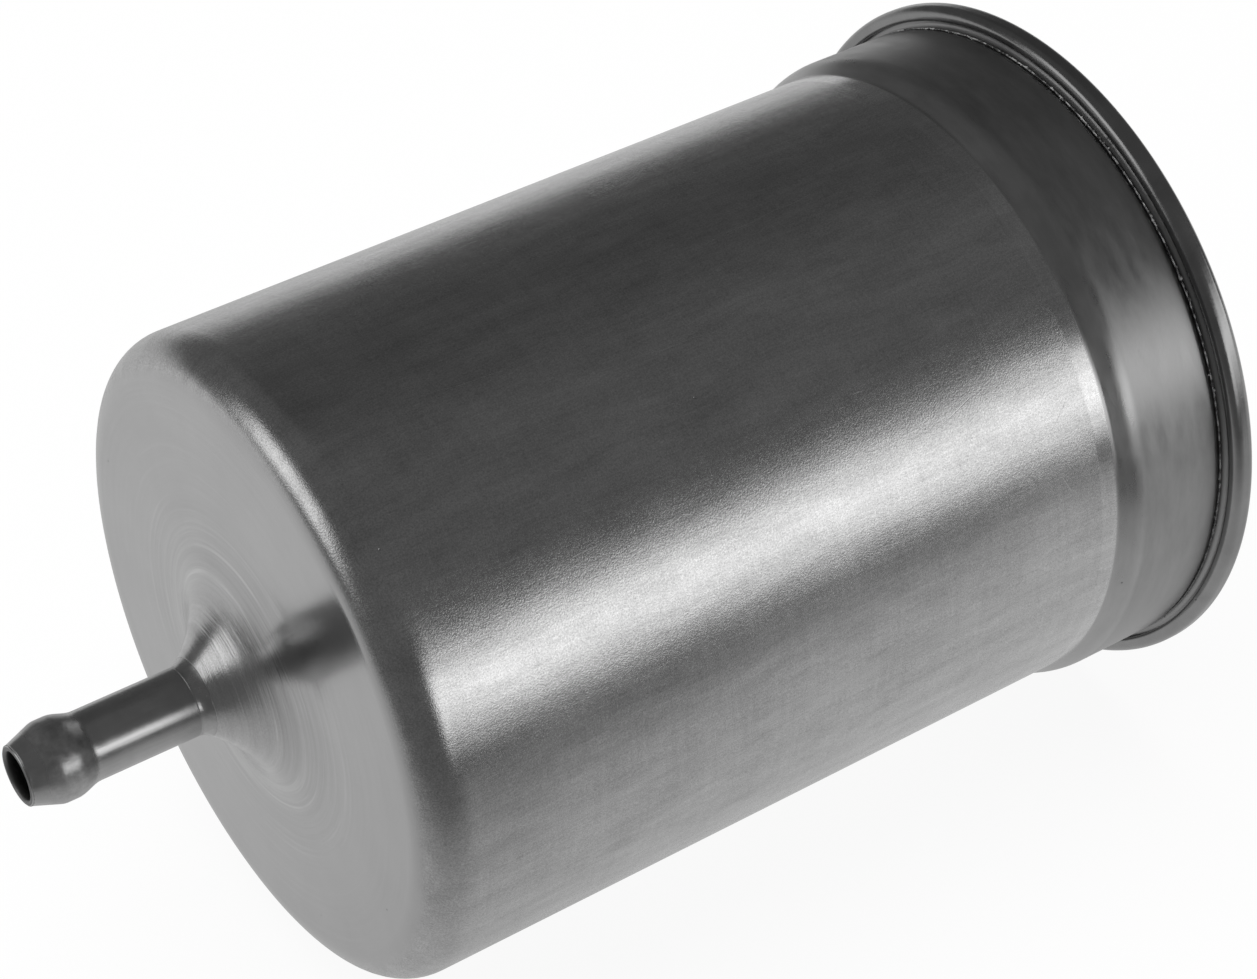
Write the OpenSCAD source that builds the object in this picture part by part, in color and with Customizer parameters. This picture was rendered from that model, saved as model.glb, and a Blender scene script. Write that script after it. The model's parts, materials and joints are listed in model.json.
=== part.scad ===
// In-line fuel filter: a deep-drawn steel can closed by a seamed end cover,
// a brazed hose spigot at each end, and a spring-loaded pleated element inside.
// The filter's axis is X, the outlet end is at -X, and the origin is on the
// axis at the middle of the can's straight wall.

/* [Can] */
// Outside radius of the can's straight wall
can_r = 38; // [34:0.5:45]
// Length of the straight wall, between the bottom corner and the flare
can_l = 85.5; // [70:0.1:140]
// Sheet thickness of the can
can_t = 0.7; // [0.6:0.05:0.8]
// Outside radius of the bottom corner
corner_r = 5; // [4:0.5:9]
// How much the mouth collar is wider than the can, in radius
collar_step = 1.2; // [0.8:0.1:1.6]
// Length of the flare from can to collar
flare_l = 3.6; // [3:0.1:5]
// Length of the straight part of the collar
collar_l = 9.9; // [7:0.1:14]

/* [Seam] */
// Sheet thickness of the end cover
cover_t = 0.8; // [0.7:0.05:0.9]
// Outside radius of the rolled seam above the collar's radius
seam_step = 2.4; // [2.3:0.1:3]
// Radius of the seam's rounded outer edges
seam_round = 1.1; // [1:0.05:1.2]
// Thickness of the gasket inside the seam
gasket_t = 0.5; // [0.4:0.05:0.6]
// Depth of the cover's panel below the top of the seam
recess = 3.7; // [3.5:0.1:5]

/* [Spigots] */
// Outside radius of the pipe, for an 8 mm hose
pipe_r = 4; // [3.5:0.5:5]
// Wall thickness of the pipe
pipe_t = 0.7; // [0.5:0.05:0.8]
// Length of each spigot from the end face to its tip
spigot_l = 28; // [24:0.1:36]
// Height of the hose bead above the pipe
bead_h = 0.7; // [0.4:0.05:0.9]
// How much smaller the tip's radius is than the pipe's
tip_drop = 0.5; // [0.4:0.05:0.8]
// Radius of the wide fillet that the can's bottom is drawn out to at the outlet
outlet_fillet = 17; // [14:0.5:18]
// Radius of the fillet that the cover is drawn out to at the inlet
inlet_fillet = 4.2; // [3:0.1:5]

/* [Element] */
// Number of pleats in the paper
pleats = 48; // [36:1:54]
// Radius of the outer folds
pleat_out = 33.5; // [32:0.1:33.6]
// Radius of the inner folds
pleat_in = 13.5; // [13.2:0.1:16]
// Thickness of the paper
paper_t = 0.45; // [0.3:0.05:0.5]
// Sheet thickness of the end caps
cap_t = 0.6; // [0.5:0.05:0.7]
// Thickness of the adhesive that the pleats stand in
potting_t = 2.4; // [1.5:0.1:3]
// Number of holes around the core tube
core_holes = 8; // [6:2:12]
// Number of hole rows along the core tube
core_rows = 9; // [5:1:12]

/* [Spring] */
// Mean radius of the coils
coil_r = 11; // [10.6:0.1:11.2]
// Wire diameter
wire_d = 1.4; // [1:0.1:1.6]
// Number of turns, with one closed turn at each end
coil_turns = 5; // [4:1:5]
// Rise of each closed end turn
end_pitch = 1.7; // [1.65:0.05:1.8]

/* [Hidden] */
$fn = 96;

// Clearances
fit_gap = 0.05;            // between the pipe and what slides or is brazed on it
loose_gap = 0.3;           // between pieces that pass each other
seat_gap = 0.02;           // between the spring and its seats

// Stations along the axis, from the outlet end to the inlet end
wall_x0 = -can_l / 2;
wall_x1 = can_l / 2;
bottom_x = wall_x0 - corner_r;              // outer face of the can's bottom
collar_x0 = wall_x1 + flare_l;
collar_x1 = collar_x0 + collar_l;
collar_r = can_r + collar_step;

// The flare turns sharply out of the wall, runs straight, and turns gently into the
// collar. Bends of flare_full together would leave no straight.
flare_full = (pow(flare_l, 2) + pow(collar_step, 2)) / (2 * collar_step);
flare_crease = flare_full / 6;
flare_shoulder = flare_full * 2 / 3;
flare_bends = flare_crease + flare_shoulder;
flare_turn = atan2(flare_l, flare_bends - collar_step)
    - acos(flare_bends / norm([flare_l, flare_bends - collar_step]));

// The neck between collar and flange, where sealant is squeezed out
neck_drop = 0.5;
neck_round = 1;
neck_hollow = 0.8;
neck_turn = acos(1 - neck_drop / (neck_round + neck_hollow));
neck_x = collar_x1 + (neck_round + neck_hollow) * sin(neck_turn);
neck_r = collar_r - neck_drop;

// The rolled seam
flange_x = neck_x + neck_hollow;            // front face of the can's flange
seam_x0 = flange_x - cover_t;               // front face of the rolled lip
gasket_x = flange_x + can_t;
seam_x1 = gasket_x + gasket_t + cover_t;    // top of the seam
seam_r = collar_r + seam_step;
lip_r = neck_r + neck_hollow + loose_gap;   // inner edge of the rolled lip
flange_r = seam_r - cover_t - 0.4;          // outer edge of the can's flange
panel_x = seam_x1 - recess;                 // outer face of the cover's panel
chuck_r = neck_r - can_t - cover_t - 0.1;   // visible side of the cover's wall
chuck_round = 1.2;

// The drawn fillets and the spigots
boss_r = pipe_r + fit_gap;
boss_turn = 52;            // how far a fillet turns out of the end face
outlet_fillet_r = boss_r + (outlet_fillet + can_t) * sin(boss_turn);
inlet_fillet_r = boss_r + (inlet_fillet + cover_t) * sin(boss_turn);
outlet_tip = bottom_x - spigot_l;
inlet_tip = panel_x + spigot_l;
outlet_inner = bottom_x + 12;
inlet_inner = panel_x - 2.3;
tip_r = pipe_r - tip_drop;
bead_r = pipe_r + bead_h;
tip_land = 0.3;            // straight edge ahead of the cone up to the bead
bore_land = 1;             // straight bore at the tip
bead_x0 = 4;               // start of the bead's crest, from the tip
bead_x1 = 5.1;             // end of the bead's crest
bead_end = 8.2;            // where the bead has run out into the pipe
tip_chamfer = 0.15;

// The element, stacked from the can's bottom
grommet_seat = bottom_x + can_t + fit_gap;
open_cap_x = grommet_seat + 2.3;            // outer face of the open end cap
potting_x0 = open_cap_x + cap_t;
media_x0 = potting_x0 + potting_t;
closed_cap_x = wall_x1 - 0.9;               // outer face of the closed end cap
potting_x1 = closed_cap_x - cap_t;
media_x1 = potting_x1 - potting_t;
cap_r = pleat_out + 1.4;
cap_bend = 1;
cap_lip = 4.8;
neck_bore = 7.1;                            // bore of the open cap's neck
neck_end = open_cap_x + 5.9;
dish_r = 10.4;                              // recess in the closed cap
dish_depth = 3;
core_r = 12;
core_t = 0.8;
core_hole_r = 1.6;
sleeve_gap = 0.1;
sleeve_t = 0.4;
potting_in = core_r + 0.75;
potting_out = cap_r - cap_t - fit_gap;

// The paper's folds, as half widths across each fold
fold_out = 0.75;
fold_gap = 0.25;
clip_t = 0.3;              // sheet of the channel over the paper's seam

// Between the closed cap and the cover
plate_t = 0.6;
plate_x = closed_cap_x + plate_t;           // face that the spring stands on
cup_x = panel_x - cover_t - plate_t;        // face that the spring pushes on
star_arms = 6;
star_r = can_r - can_t - 0.5;

// Points of an arc around c, in [axial, radial]
function arc(c, r, a0, a1, n = 8) =
    [for (i = [0:n]) c + r * [cos(a0 + (a1 - a0) * i / n), sin(a0 + (a1 - a0) * i / n)]];

// One side of a bent sheet. A bend is [axial, radial, radius, start, end]: a
// positive radius bulges to the visible side, a negative one is hollow there,
// and a radius of 0 is a cut end whose start angle points out of the visible side.
function sheet_side(bends, depth) =
    [for (b = bends) each
        b[2] == 0 ? [[b[0], b[1]] - depth * [cos(b[3]), sin(b[3])]]
        : arc([b[0], b[1]], abs(b[2]) - sign(b[2]) * depth, b[3], b[4])];

function reversed(list) = [for (i = [len(list) - 1:-1:0]) list[i]];

function sheet(bends, t) = concat(sheet_side(bends, 0), reversed(sheet_side(bends, t)));

// Turns an outline of [axial, radial] points about the X axis
module turned(outline) {
    rotate([0, 90, 0])
        rotate_extrude()
            polygon([for (p = outline) [p[1], p[0]]]);
}

// A plain ring about the X axis
module ring(x0, x1, r0, r1) {
    turned([[x0, r0], [x1, r0], [x1, r1], [x0, r1]]);
}

// A round bar along X
module bar(x0, x1, r) {
    translate([x0, 0, 0])
        rotate([0, 90, 0])
            cylinder(h = x1 - x0, r = r);
}

// Share of the rise to the bead: a straight cone that rounds off after cone_end
cone_end = 0.8;
function cone_rise(v) =
    let (s = 2 / (1 + cone_end))
    v < cone_end ? s * v : 1 - s * pow(1 - v, 2) / (2 * (1 - cone_end));

// Outside radius of a spigot at distance u from its tip
function spigot_r(u) =
    u <= tip_land ? tip_r
    : u < bead_x0 ? tip_r + (bead_r - tip_r) * cone_rise((u - tip_land) / (bead_x0 - tip_land))
    : u <= bead_x1 ? bead_r
    : u < bead_end ? pipe_r + bead_h * pow(cos(90 * (u - bead_x1) / (bead_end - bead_x1)), 2)
    : pipe_r;

// A beaded hose pipe from its tip at x = 0 to its inner end at x = length
module hose_pipe(length) {
    ramps = concat(
        [tip_land],
        [for (i = [1:9]) tip_land + (bead_x0 - tip_land) * i / 10],
        [bead_x0, bead_x1],
        [for (i = [1:7]) bead_x1 + (bead_end - bead_x1) * i / 8],
        [bead_end, length]
    );
    turned(concat(
        [[0, tip_r - tip_chamfer], [tip_chamfer, tip_r]],
        [for (u = ramps) [u, spigot_r(u)]],
        [for (u = reversed(ramps)) if (u > bore_land + 0.2) [u, spigot_r(u) - pipe_t]],
        [[bore_land, tip_r - pipe_t], [0, tip_r - pipe_t]]
    ));
}

// Braze that carries the end of a drawn fillet of sheet t on to the pipe. The
// sheet's visible edge is at x = 0.
module braze_fillet(t) {
    h = boss_r + t * sin(boss_turn) - pipe_r;
    l = 2 * h * tan(boss_turn);
    turned(concat(
        [[-t * cos(boss_turn), pipe_r], [-t * cos(boss_turn), boss_r]],
        [for (i = [0:6]) [l * i / 6, pipe_r + h * pow(1 - i / 6, 2)]]
    ));
}

module housing_can() {
    color("silver")
        turned(sheet([
            [bottom_x - outlet_fillet, outlet_fillet_r, -outlet_fillet, -boss_turn, 0],
            [wall_x0, can_r - corner_r, corner_r, 180, 90],
            [wall_x1, can_r + flare_crease, -flare_crease, -90, -90 + flare_turn],
            [collar_x0, collar_r - flare_shoulder, flare_shoulder, 90 + flare_turn, 90],
            [collar_x1, collar_r - neck_round, neck_round, 90, 90 - neck_turn],
            [neck_x, neck_r + neck_hollow, -neck_hollow, -90 - neck_turn, 0],
            [flange_x, flange_r, 0, 180]
        ], can_t));
}
module end_cover() {
    color("silver")
        turned(sheet([
            [panel_x + inlet_fillet, inlet_fillet_r, -inlet_fillet, boss_turn - 180, -180],
            [panel_x + chuck_round, chuck_r - chuck_round, -chuck_round, 180, 90],
            [seam_x1 - chuck_round, chuck_r + chuck_round, chuck_round, -90, 0],
            [seam_x1 - seam_round, seam_r - seam_round, seam_round, 0, 90],
            [seam_x0 + seam_round, seam_r - seam_round, seam_round, 90, 180],
            [seam_x0, lip_r, 0, 180]
        ], cover_t));
}

module outlet_pipe() {
    color("lightgray")
        translate([outlet_tip, 0, 0])
            hose_pipe(outlet_inner - outlet_tip);
}

module inlet_pipe() {
    color("lightgray")
        translate([inlet_tip, 0, 0])
            mirror([1, 0, 0])
                hose_pipe(inlet_tip - inlet_inner);
}

module outlet_braze_ring() {
    color("gold")
        translate([bottom_x - outlet_fillet * (1 - cos(boss_turn)), 0, 0])
            mirror([1, 0, 0])
                braze_fillet(can_t);
}

module inlet_braze_ring() {
    color("gold")
        translate([panel_x + inlet_fillet * (1 - cos(boss_turn)), 0, 0])
            braze_fillet(cover_t);
}

module seam_gasket() {
    color("dimgray")
        ring(gasket_x, gasket_x + gasket_t, neck_r + neck_hollow, flange_r);
}

module sealant_bead() {
    bead = 0.25;
    color("black")
        rotate([0, 90, 0])
            rotate_extrude()
                translate([neck_r + 0.4, neck_x - 0.35])
                    circle(r = bead, $fn = 24);
}

// Cup that holds the spring's fixed end in place against the cover
module spring_cup() {
    bend = 1;
    rim_r = coil_r + wire_d / 2 + loose_gap;
    color("gainsboro")
        turned(sheet([
            [cup_x, 7.2, 0, 180],
            [cup_x - bend, rim_r - bend, -bend, 0, 90],
            [cup_x - 2.4, rim_r, 0, -90]
        ], plate_t));
}

// Closed-end coil, swept by rings of points square to the wire
module compression_spring() {
    sides = 10;
    steps = 24;
    wire_r = wire_d / 2;
    coil_x0 = plate_x + wire_r + seat_gap;
    coil_x1 = cup_x - wire_r - seat_gap;
    mid_pitch = (coil_x1 - coil_x0 - 2 * end_pitch) / (coil_turns - 2);
    function coil_x(t) =
        coil_x0 + end_pitch * min(t, 1) + mid_pitch * max(0, min(t, coil_turns - 1) - 1)
        + end_pitch * max(0, t - coil_turns + 1);
    rings = coil_turns * steps;
    points = [for (i = [0:rings], j = [0:sides - 1])
        let (t = i / steps, a = 360 * t, b = 360 * j / sides, r = coil_r + wire_r * cos(b))
        [coil_x(t) + wire_r * sin(b), r * cos(a), r * sin(a)]];
    walls = [for (i = [0:rings - 1], j = [0:sides - 1])
        let (k = (j + 1) % sides)
        [i * sides + j, i * sides + k, (i + 1) * sides + k, (i + 1) * sides + j]];
    first = [for (j = [sides - 1:-1:0]) j];
    last = [for (j = [0:sides - 1]) rings * sides + j];
    color("slategray")
        polyhedron(points, concat(walls, [first, last]), convexity = 10);
}

// Star-shaped plate that centres the element and carries the spring
module spring_plate() {
    arm_w = 9;
    hub_r = 17;
    guide_r = coil_r - wire_d / 2 - loose_gap;
    color("gainsboro") {
        intersection() {
            union() {
                bar(closed_cap_x, plate_x, hub_r);
                for (i = [0:star_arms - 1])
                    rotate([i * 360 / star_arms, 0, 0])
                        translate([closed_cap_x, -arm_w / 2, 0])
                            cube([plate_t, arm_w, star_r + 1]);
            }
            ring(closed_cap_x - 1, plate_x + 1, guide_r - plate_t, star_r);
        }
        ring(closed_cap_x, plate_x + 2, guide_r - plate_t, guide_r);
    }
}

module closed_end_cap() {
    color("silver")
        turned(sheet([
            [closed_cap_x - dish_depth, 0, 0, 0],
            [closed_cap_x - dish_depth + cap_bend, dish_r - cap_bend, -cap_bend, 180, 90],
            [closed_cap_x - cap_bend, dish_r + cap_bend, cap_bend, -90, 0],
            [closed_cap_x - cap_bend, cap_r - cap_bend, cap_bend, 0, 90],
            [closed_cap_x - cap_lip, cap_r, 0, 90]
        ], cap_t));
}

module open_end_cap() {
    color("silver")
        turned(sheet([
            [neck_end, neck_bore, 0, -90],
            [open_cap_x + cap_bend, neck_bore + cap_bend, cap_bend, -90, -180],
            [open_cap_x + cap_bend, cap_r - cap_bend, cap_bend, 180, 90],
            [open_cap_x + cap_lip, cap_r, 0, 90]
        ], cap_t));
}

// Disc of adhesive poured into a cap, whose face is at x = 0. The disc's edge is cut
// back to clear the cap's bend.
module potting() {
    cut = cap_bend - cap_t;
    color("burlywood")
        turned([
            [0, potting_in],
            [0, potting_out - cut],
            [cut, potting_out],
            [potting_t, potting_out],
            [potting_t, potting_in]
        ]);
}

module closed_end_potting() {
    translate([potting_x1, 0, 0])
        mirror([1, 0, 0])
            potting();
}

module open_end_potting() {
    translate([potting_x0, 0, 0])
        potting();
}

// A point at radius r, offset w millimetres along the arc from angle a
function fold_point(r, a, w) = r * [cos(a + w / r * 180 / PI), sin(a + w / r * 180 / PI)];

// Paper folded into a star, its walls nearly parallel
module pleated_media() {
    pitch = 360 / pleats;
    outer = [for (i = [0:pleats - 1]) let (a = i * pitch) each [
        fold_point(pleat_in, a - pitch / 2, fold_gap),
        fold_point(pleat_out, a, -fold_out),
        fold_point(pleat_out, a, fold_out),
        fold_point(pleat_in, a + pitch / 2, -fold_gap)
    ]];
    inner = [for (i = [0:pleats - 1]) let (a = i * pitch) each [
        fold_point(pleat_in - paper_t, a - pitch / 2, fold_gap + paper_t),
        fold_point(pleat_out - paper_t, a, paper_t - fold_out),
        fold_point(pleat_out - paper_t, a, fold_out - paper_t),
        fold_point(pleat_in - paper_t, a + pitch / 2, -fold_gap - paper_t)
    ]];
    color("wheat")
        translate([media_x0, 0, 0])
            rotate([0, 90, 0])
                linear_extrude(media_x1 - media_x0)
                    difference() {
                        polygon(outer);
                        polygon(inner);
                    }
}

// Channel crimped over the pleat where the two ends of the paper meet
module media_seam_clip() {
    grip = fold_out + fit_gap;
    depth = 5;
    color("darkgray")
        difference() {
            translate([media_x0 + loose_gap, -grip - clip_t, pleat_out - depth])
                cube([media_x1 - media_x0 - 2 * loose_gap, 2 * (grip + clip_t), depth + fit_gap + clip_t]);
            translate([media_x0, -grip, pleat_out - depth - 1])
                cube([media_x1 - media_x0, 2 * grip, depth + 1 + fit_gap]);
        }
}

// Glue beads that keep the outer folds evenly apart
module pleat_bands() {
    bands = 3;
    band_w = 2;
    band_t = 0.45;
    clip_gap = 2 * (fold_out + clip_t + 2 * fit_gap);
    span = media_x1 - media_x0;
    color("ivory")
        difference() {
            for (i = [1:bands]) {
                x = media_x0 + span * i / (bands + 1);
                ring(x - band_w / 2, x + band_w / 2, pleat_out + fit_gap, pleat_out + fit_gap + band_t);
            }
            translate([media_x0, -clip_gap / 2, 0])
                cube([span, clip_gap, 2 * pleat_out]);
        }
}

module strainer_sleeve() {
    color("whitesmoke")
        ring(media_x0, media_x1, core_r + sleeve_gap, core_r + sleeve_gap + sleeve_t);
}

module core_tube() {
    x0 = potting_x0 + 0.4;
    x1 = potting_x1 - 0.15;
    row = (media_x1 - media_x0) / (core_rows + 1);
    color("lightsteelblue")
        difference() {
            ring(x0, x1, core_r - core_t, core_r);
            for (i = [1:core_rows], j = [0:core_holes - 1])
                translate([media_x0 + i * row, 0, 0])
                    rotate([(j + (i % 2) / 2) * 360 / core_holes, 0, 0])
                        translate([0, 0, core_r - core_t - 1])
                            cylinder(h = core_t + 2, r = core_hole_r, $fn = 24);
        }
}

// Rubber seal between the element and the outlet pipe. Its front rests in the hollow
// of the can's bottom.
module outlet_grommet() {
    bore = pipe_r + fit_gap;
    shank = neck_bore - fit_gap;
    seat = outlet_fillet + can_t + fit_gap;
    seat_r = [9.5, 13];
    turns = [for (r = seat_r) -asin((outlet_fillet_r - r) / seat)];
    color("dimgray")
        turned(concat(
            [[bottom_x - 0.2, bore]],
            arc([bottom_x - outlet_fillet, outlet_fillet_r], seat, turns[0], turns[1]),
            [[open_cap_x - fit_gap, seat_r[1]]],
            arc([open_cap_x + cap_bend, neck_bore + cap_bend], cap_bend + fit_gap, 180, 270),
            [
                [neck_end + fit_gap, shank],
                [neck_end + fit_gap, shank + 1],
                [neck_end + 1.2, shank + 0.4],
                [neck_end + 1.2, bore]
            ]
        ));
}

housing_can();
end_cover();
outlet_pipe();
inlet_pipe();
outlet_braze_ring();
inlet_braze_ring();
seam_gasket();
sealant_bead();
spring_cup();
compression_spring();
spring_plate();
closed_end_cap();
closed_end_potting();
pleated_media();
media_seam_clip();
pleat_bands();
strainer_sleeve();
core_tube();
open_end_potting();
open_end_cap();
outlet_grommet();
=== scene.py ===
import json
import math

import bmesh
import bpy
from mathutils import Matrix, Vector


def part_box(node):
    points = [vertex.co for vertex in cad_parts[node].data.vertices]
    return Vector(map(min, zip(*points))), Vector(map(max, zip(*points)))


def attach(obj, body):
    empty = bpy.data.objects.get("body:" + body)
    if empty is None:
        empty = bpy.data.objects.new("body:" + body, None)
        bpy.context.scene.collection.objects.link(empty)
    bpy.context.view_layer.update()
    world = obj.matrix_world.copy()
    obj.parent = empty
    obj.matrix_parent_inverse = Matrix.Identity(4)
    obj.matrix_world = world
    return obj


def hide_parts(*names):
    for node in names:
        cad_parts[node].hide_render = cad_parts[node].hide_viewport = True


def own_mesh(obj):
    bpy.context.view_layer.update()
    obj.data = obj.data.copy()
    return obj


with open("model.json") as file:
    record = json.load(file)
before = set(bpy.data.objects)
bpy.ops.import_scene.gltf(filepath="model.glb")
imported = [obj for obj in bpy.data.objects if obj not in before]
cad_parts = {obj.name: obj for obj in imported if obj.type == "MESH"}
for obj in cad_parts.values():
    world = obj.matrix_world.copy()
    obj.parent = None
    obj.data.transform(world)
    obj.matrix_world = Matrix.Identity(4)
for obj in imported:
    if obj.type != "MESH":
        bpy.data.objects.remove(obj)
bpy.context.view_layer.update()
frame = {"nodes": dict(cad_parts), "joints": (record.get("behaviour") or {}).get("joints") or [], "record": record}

# ---------------------------------------------------------------- sizes
# Metres, in the frame of the part. The filter's axis is X.
MM = 0.001
mounts = {mount["name"]: mount for mount in frame["record"]["mounts"]}
can_r = mounts["body_clamp"]["dims"]["r_mm"] * MM
can_l = mounts["body_clamp"]["dims"]["length_mm"] * MM

can_t = 0.7 * MM            # sheet of the can
corner_r = 5 * MM           # bottom corner
flare_l = 3.6 * MM          # flare from can to mouth collar
collar_r = 39.2 * MM
collar_l = 9.9 * MM
neck_drop = 0.5 * MM        # neck between collar and flange
neck_round = 1 * MM
neck_hollow = 0.8 * MM
cover_t = 0.8 * MM          # sheet of the end cover
gasket_t = 0.5 * MM
seam_round = 1.1 * MM
chuck_round = 1.2 * MM
recess = 3.7 * MM           # cover's panel below the top of the seam
outlet_fillet = 17 * MM     # fillets drawn out around the pipes
inlet_fillet = 4.2 * MM
boss_turn = 52.0            # how far a fillet turns out of the end face, in degrees
pipe_r = 4 * MM
pipe_t = 0.7 * MM
tip_r = 3.5 * MM
bead_r = 4.7 * MM
tip_land = 0.3 * MM
bore_land = 1 * MM
cone_end = 0.8              # share of the cone to the bead that is straight
bead_x0 = 4 * MM
bead_x1 = 5.1 * MM
bead_end = 8.2 * MM
fit_gap = 0.05 * MM

wall_x0 = -can_l / 2
wall_x1 = can_l / 2
bottom_x = wall_x0 - corner_r
collar_x0 = wall_x1 + flare_l
collar_x1 = collar_x0 + collar_l
flare_step = collar_r - can_r
flare_full = (flare_l ** 2 + flare_step ** 2) / (2 * flare_step)
flare_crease = flare_full / 6
flare_shoulder = flare_full * 2 / 3
flare_bends = flare_crease + flare_shoulder
flare_slope = math.acos(flare_bends / math.hypot(flare_l, flare_bends - flare_step))
flare_turn = math.degrees(math.atan2(flare_l, flare_bends - flare_step) - flare_slope)
neck_turn = math.degrees(math.acos(1 - neck_drop / (neck_round + neck_hollow)))
neck_x = collar_x1 + (neck_round + neck_hollow) * math.sin(math.radians(neck_turn))
neck_r = collar_r - neck_drop
flange_x = neck_x + neck_hollow
gasket_x = flange_x + can_t
seam_x0 = flange_x - cover_t
seam_x1 = gasket_x + gasket_t + cover_t
seam_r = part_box("end_cover")[1].z
lip_r = neck_r + neck_hollow + 0.3 * MM
flange_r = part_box("housing_can")[1].z
panel_x = seam_x1 - recess
chuck_r = neck_r - can_t - cover_t - 0.1 * MM
boss_r = pipe_r + fit_gap
boss_lean = math.radians(boss_turn)
outlet_fillet_r = boss_r + (outlet_fillet + can_t) * math.sin(boss_lean)
inlet_fillet_r = boss_r + (inlet_fillet + cover_t) * math.sin(boss_lean)
outlet_tip, outlet_inner = (corner.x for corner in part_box("outlet_pipe"))
inlet_inner, inlet_tip = (corner.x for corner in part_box("inlet_pipe"))

# The element
cap_t = 0.6 * MM
cap_bend = 1 * MM
open_cap_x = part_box("open_end_cap")[0].x
closed_cap_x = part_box("closed_end_cap")[1].x
cap_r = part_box("closed_end_cap")[1].z
cap_lip = 4.8 * MM
neck_bore = 7.1 * MM
neck_end = open_cap_x + 5.9 * MM
dish_r = 10.4 * MM
dish_depth = 3 * MM
media_x0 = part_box("pleated_media")[0].x
media_x1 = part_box("pleated_media")[1].x
pleats = 48
pleat_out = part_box("pleated_media")[1].y
pleat_in = 13.5 * MM
paper_t = 0.45 * MM
coil_r = 11 * MM
wire_r = 0.7 * MM
coil_turns = 5
end_pitch = 1.7 * MM
plate_t = 0.6 * MM
cup_hole = 7.2 * MM         # spring cup in the cover
cup_bend = 1 * MM
cup_depth = 2.4 * MM
cup_rim = coil_r + wire_r + 0.3 * MM
potting_in = 12.75 * MM
sleeve_in = 12.1 * MM
seal_front = 9.5 * MM       # where the grommet meets the bottom's fillet
coil_x0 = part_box("compression_spring")[0].x + wire_r
coil_x1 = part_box("compression_spring")[1].x - wire_r
cup_x = panel_x - cover_t - plate_t


# ---------------------------------------------------------------- outlines
# An outline is a closed list of (axial, radial) points.
def arc(centre, r, a0, a1):
    turn = abs(a1 - a0)
    count = max(4, math.ceil(turn / 6), math.ceil(math.radians(turn) * r / (0.9 * MM)))
    turns = [math.radians(a0 + (a1 - a0) * i / count) for i in range(count + 1)]
    return [(centre[0] + r * math.cos(a), centre[1] + r * math.sin(a)) for a in turns]


def sheet_side(bends, depth):
    """One side of a bent sheet. A bend is (axial, radial, radius, start, end): a
    positive radius bulges to the visible side, a negative one is hollow there, and
    a radius of 0 is a cut end whose start angle points out of the visible side."""
    points = []
    for x, r, radius, a0, *a1 in bends:
        if radius:
            bend = abs(radius) - math.copysign(depth, radius)
            points += arc((x, r), bend, a0, a1[0])
        else:
            turn = math.radians(a0)
            points.append((x - depth * math.cos(turn), r - depth * math.sin(turn)))
    return points


def rounded_end(p, q, before):
    """Half a circle from p to q, the two corners of a cut end, set back so that it
    doesn't pass the cut. before is the point ahead of p."""
    p, q, before = Vector(p), Vector(q), Vector(before)
    out = (p - before).normalized()
    half = (p - q) / 2
    centre = (p + q) / 2 - out * half.length
    turns = [math.pi * i / 8 for i in range(9)]
    return [tuple(centre + half * math.cos(a) + out * half.length * math.sin(a)) for a in turns]


def held(points, gap=0.25 * MM, longest=4 * MM):
    """Adds points on the straights, close to both ends and at even steps, so that the
    smooth shading of a bend doesn't run into the flat beside it."""
    result = []
    for p, q in zip(points, points[1:] + points[:1]):
        result.append(p)
        run = math.dist(p, q)
        if run > 4 * gap:
            steps = max(1, math.ceil((run - 2 * gap) / longest))
            for i in range(steps + 1):
                share = (gap + (run - 2 * gap) * i / steps) / run
                result.append((p[0] + (q[0] - p[0]) * share, p[1] + (q[1] - p[1]) * share))
    return result


def sheet(bends, t):
    """The outline of a bent sheet with its cut ends rounded over. Where the first bend
    isn't a cut end, the sheet starts square, under braze."""
    outer, inner = sheet_side(bends, 0), sheet_side(bends, t)
    points = outer[:]
    if bends[-1][2] == 0:
        points[-1:] = rounded_end(outer[-1], inner[-1], outer[-2])
        inner.pop()
    points += inner[:0:-1]
    if bends[0][2] == 0 and bends[0][1] > 0:
        points += rounded_end(inner[0], outer[0], inner[1])
        points.pop(0)
    else:
        points.append(inner[0])
        points.insert(1, tuple(Vector(outer[0]).lerp(Vector(outer[1]), 0.06)))
    return held(points)


def rounded(corners, radius=0.15 * MM):
    """The outline through corners, each rounded by cutting it with a short curve."""
    result = []
    for before, p, after in zip(corners[-1:] + corners, corners, corners[1:] + corners[:1]):
        before, p, after = Vector(before), Vector(p), Vector(after)
        cut = min(radius, (before - p).length * 0.45, (after - p).length * 0.45)
        a = p + (before - p).normalized() * cut
        b = p + (after - p).normalized() * cut
        for share in (0, 0.25, 0.5, 0.75, 1):
            result.append(tuple(a.lerp(p, share).lerp(p.lerp(b, share), share)))
    return held(result)


def block(x0, x1, r0, r1, radius=0.15 * MM):
    return rounded([(x0, r0), (x0, r1), (x1, r1), (x1, r0)], radius)


def spigot_r(u):
    """Outside radius of a pipe at distance u from its tip."""
    if u <= tip_land:
        return tip_r
    if u < bead_x0:
        share = (u - tip_land) / (bead_x0 - tip_land)
        slope = 2 / (1 + cone_end)
        if share < cone_end:
            return tip_r + (bead_r - tip_r) * slope * share
        short = slope * (1 - share) ** 2 / (2 * (1 - cone_end))
        return bead_r - (bead_r - tip_r) * short
    if u <= bead_x1:
        return bead_r
    if u < bead_end:
        share = (u - bead_x1) / (bead_end - bead_x1)
        return pipe_r + (bead_r - pipe_r) * math.cos(share * math.pi / 2) ** 2
    return pipe_r


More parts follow.
